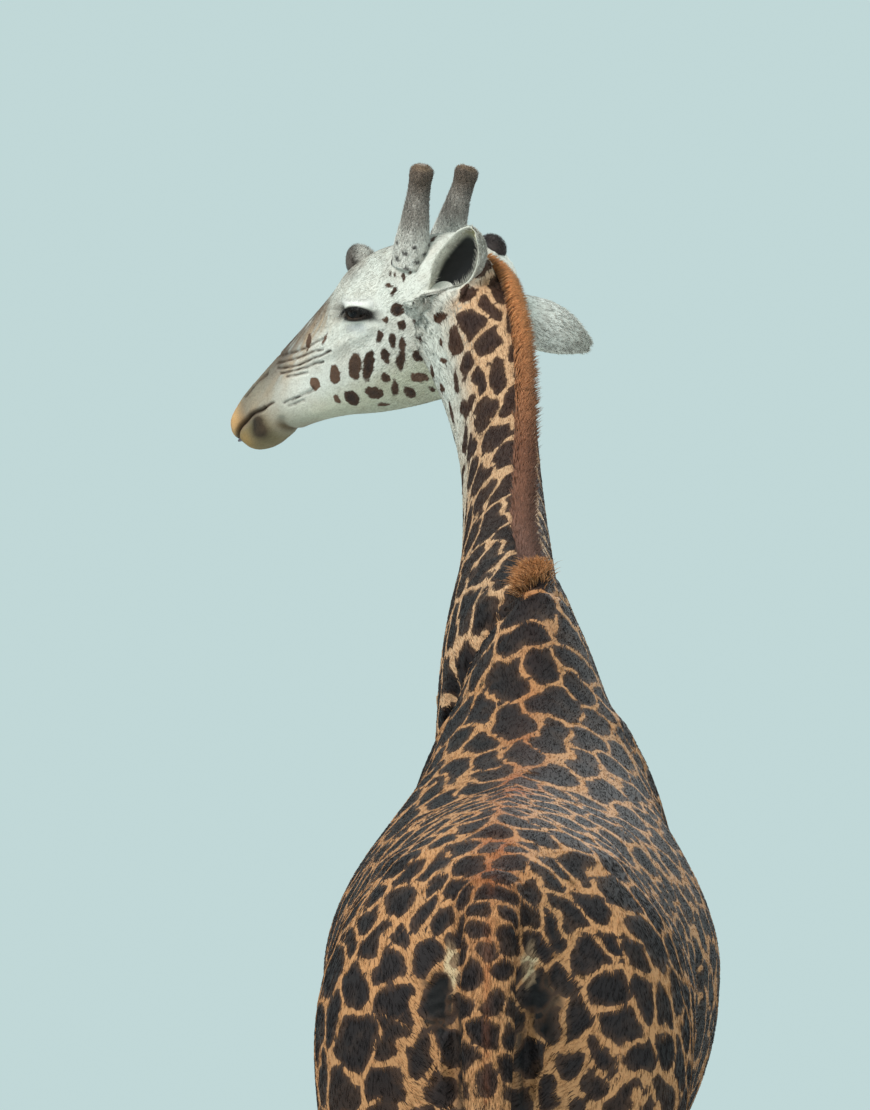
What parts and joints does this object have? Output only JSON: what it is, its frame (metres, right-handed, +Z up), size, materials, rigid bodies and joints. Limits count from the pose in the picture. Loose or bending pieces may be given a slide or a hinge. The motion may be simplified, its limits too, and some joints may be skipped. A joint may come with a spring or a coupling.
{
  "type": "giraffe, standing bull",
  "caption": "Life-size standing Masai giraffe bull, neck stretched forward, head turned to its left; one still model in named body parts.",
  "frame": {"origin": "on the floor under the middle of the outer box", "axes": "+Z up, +Y the way the trunk faces, +X to the animal's right"},
  "size_m": [1.1435, 3.3649, 3.9585],
  "materials": {
    "coat": "short flat fur, near-black brown patches on tan",
    "pale_coat": "short flat fur, greyish white with dark spots",
    "ear_skin": "short pale fur, dark inside",
    "mane_hair": "stiff upright rust-brown hair",
    "tail_hair": "long coarse black hair",
    "horn_skin": "grey-brown hair over bone",
    "hoof": "dull horn",
    "eye": "wet, dark brown",
    "tongue": "moist, blue-black"
  },
  "bodies": {
    "root": {"rump": "coat", "barrel": "coat", "chest": "coat", "neck_lower": "coat", "neck_upper": "coat", "tail_root": "coat", "tail_middle": "coat", "head": "pale_coat", "lower_jaw": "pale_coat", "muzzle": "pale_coat", "ear_left": "ear_skin", "ear_right": "ear_skin", "mane_lower": "mane_hair", "mane_middle": "mane_hair", "mane_upper": "mane_hair", "tail_tuft": "tail_hair", "ossicone_left": "horn_skin", "ossicone_right": "horn_skin", "horn_median": "horn_skin", "horn_occipital": "horn_skin", "eye_left": "eye", "eye_right": "eye", "tongue_tip": "tongue", "hind_left_thigh": "coat", "hind_left_shank": "coat", "hind_left_cannon": "pale_coat", "hind_left_foot": "pale_coat", "hind_left_claw_inner": "hoof", "hind_left_claw_outer": "hoof", "hind_right_thigh": "coat", "hind_right_shank": "coat", "hind_right_cannon": "pale_coat", "hind_right_foot": "pale_coat", "hind_right_claw_inner": "hoof", "hind_right_claw_outer": "hoof", "fore_left_shoulder": "coat", "fore_left_forearm": "coat", "fore_left_cannon": "pale_coat", "fore_left_foot": "pale_coat", "fore_left_claw_inner": "hoof", "fore_left_claw_outer": "hoof", "fore_right_shoulder": "coat", "fore_right_forearm": "coat", "fore_right_cannon": "pale_coat", "fore_right_foot": "pale_coat", "fore_right_claw_inner": "hoof", "fore_right_claw_outer": "hoof"}
  },
  "joints": []
}
